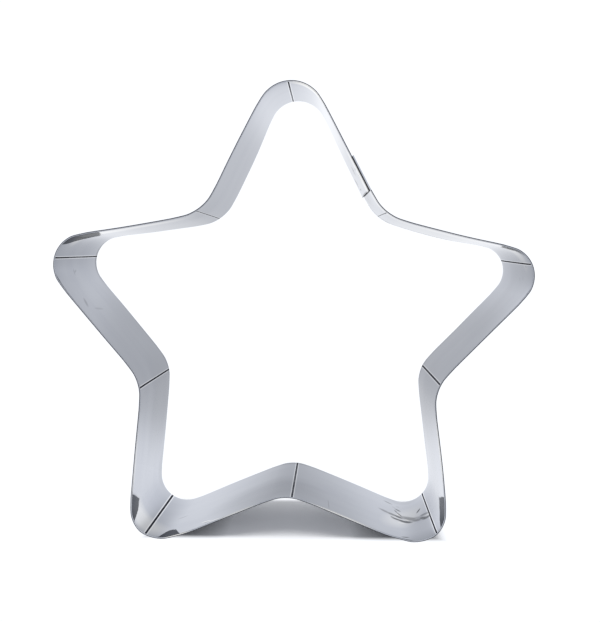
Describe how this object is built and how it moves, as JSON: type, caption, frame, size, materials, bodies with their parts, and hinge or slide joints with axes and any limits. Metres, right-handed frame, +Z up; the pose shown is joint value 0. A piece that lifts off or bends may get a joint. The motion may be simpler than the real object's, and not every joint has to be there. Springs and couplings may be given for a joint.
{
  "type": "star cake ring",
  "caption": "Bottomless star-shaped baking ring: one thin stainless steel strip bent into a star with rounded points, its ends lapped and spot welded.",
  "frame": {"origin": "under the middle of the ring's box, on the surface that its two lower points stand on", "axes": "+Z up to the top point, +X to the right seen from the near rim, +Y through the ring from its near rim to its far rim"},
  "size_m": [0.254, 0.0636, 0.2503],
  "materials": {
    "bright_stainless_sheet": "bright cold-rolled stainless sheet with a fine grain along the strip",
    "fused_weld_steel": "dull fused steel, faintly heat tinted"
  },
  "bodies": {
    "root": {"strip": "bright_stainless_sheet", "spot_weld_1": "fused_weld_steel", "spot_weld_2": "fused_weld_steel", "spot_weld_3": "fused_weld_steel"}
  },
  "joints": []
}
